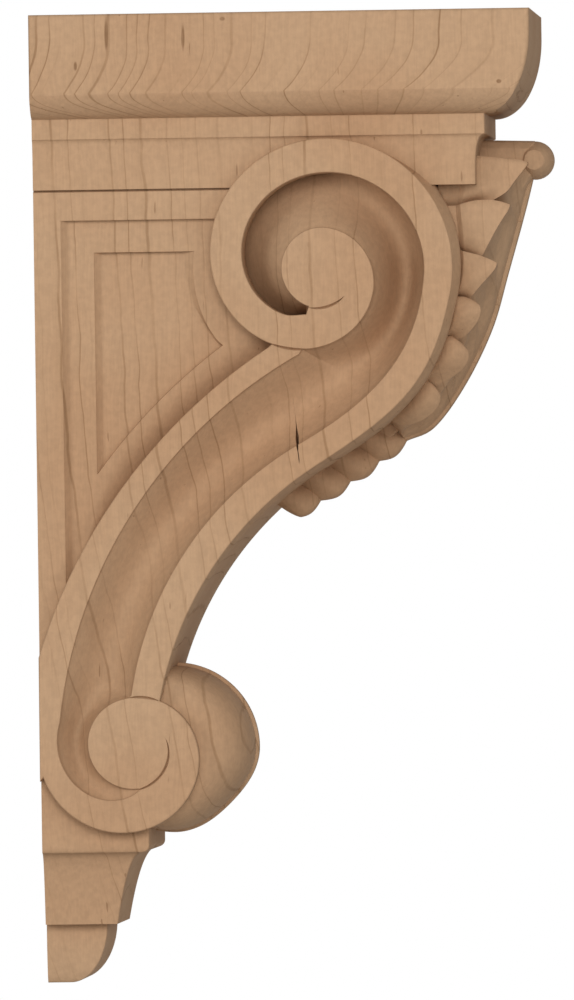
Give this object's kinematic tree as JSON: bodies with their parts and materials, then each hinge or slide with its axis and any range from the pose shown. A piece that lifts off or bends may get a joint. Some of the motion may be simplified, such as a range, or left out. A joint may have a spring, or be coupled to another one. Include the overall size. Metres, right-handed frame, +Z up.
{
  "type": "corbel bracket",
  "caption": "Carved wooden corbel bracket with a moulded top, a scroll on each side, a leaf over the front and a stepped drop at the foot.",
  "frame": {"origin": "Middle of the flat back face, half way up the height and on the middle of the width.", "axes": "X runs straight out from the wall to the leaf, Y across the width, Z up. Length is the Z size, width the Y size, and the reach from the wall is the X size."},
  "size_m": [0.1899, 0.133, 0.3556],
  "materials": {
    "wood": "sanded, unfinished"
  },
  "bodies": {
    "root": {"corbel": "wood"}
  },
  "joints": []
}
